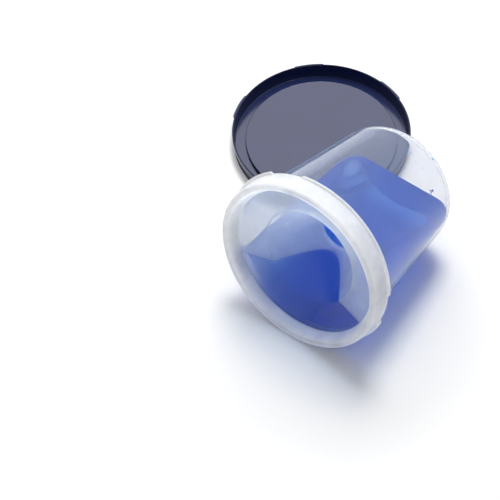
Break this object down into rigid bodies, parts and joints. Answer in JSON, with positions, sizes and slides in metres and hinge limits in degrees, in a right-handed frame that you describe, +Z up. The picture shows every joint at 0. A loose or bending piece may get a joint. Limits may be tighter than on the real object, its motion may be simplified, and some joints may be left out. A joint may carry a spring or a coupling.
{
  "type": "brush washer with lid",
  "caption": "Tapered cup for rinsing paint brushes, with a push-on spill-stop collar that holds a deep funnel, and a separate snap lid with pry lugs.",
  "frame": {"origin": "middle of the lid's outer face, on the surface that the object lies on", "axes": "+Z up; +Y from the lying cup's mouth to its base; +X from the lid to the cup"},
  "size_m": [0.1501, 0.153, 0.0885],
  "materials": {
    "clear_plastic": "clear-milky polypropylene, moulded, smooth",
    "milky_plastic": "white-translucent polypropylene, moulded, smooth",
    "navy_plastic": "dark navy polyethylene, moulded, glossy"
  },
  "bodies": {
    "cup": {"cup": "clear_plastic"},
    "spill_stop": {"spill_stop": "milky_plastic"},
    "lid": {"lid": "navy_plastic"}
  },
  "joints": [
    {"name": "collar_pull", "type": "slide", "parent": "cup", "child": "spill_stop", "axis": [0, -0.9811, 0.1934], "range_m": [0, 0.045]},
    {"name": "lid_slide", "type": "slide", "parent": "cup", "child": "lid", "axis": [-1, 0, 0], "range_m": [0, 0.1]}
  ]
}
